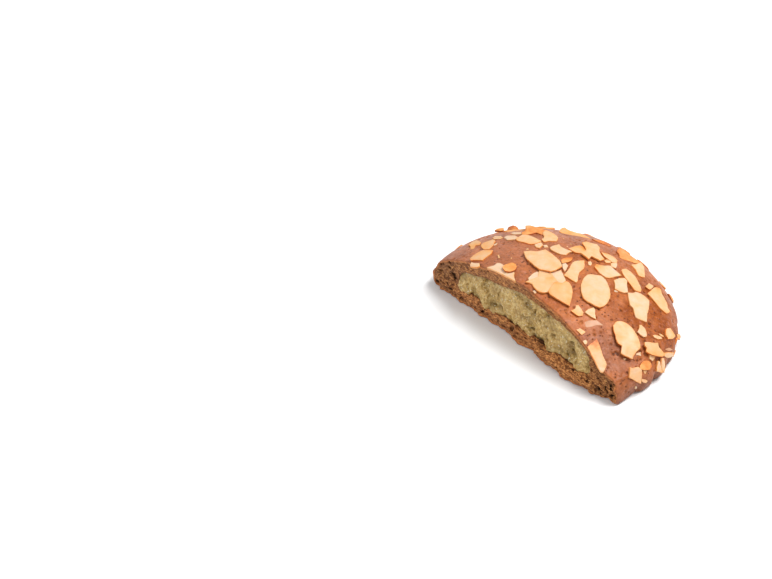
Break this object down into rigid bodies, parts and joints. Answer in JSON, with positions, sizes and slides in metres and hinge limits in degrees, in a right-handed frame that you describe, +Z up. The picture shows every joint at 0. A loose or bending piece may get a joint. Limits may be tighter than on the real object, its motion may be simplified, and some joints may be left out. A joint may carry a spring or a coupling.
{
  "type": "filled speculaas biscuit piece",
  "caption": "Cut piece of a round domed spiced biscuit with a scalloped rim, almond paste filling at the cut and almond flakes baked on top.",
  "frame": {"origin": "centre of the whole biscuit's round underside, on the surface it rests on", "axes": "+X along the cut, +Y from the cut to the rounded back, +Z up"},
  "size_m": [0.1037, 0.0669, 0.028],
  "materials": {
    "crust": "baked spiced dough with a soft sheen, porous at the cut",
    "filling": "moist granular almond paste",
    "almond": "dry toasted almond slices"
  },
  "bodies": {
    "root": {"crust": "crust", "filling": "filling"}
  },
  "joints": []
}
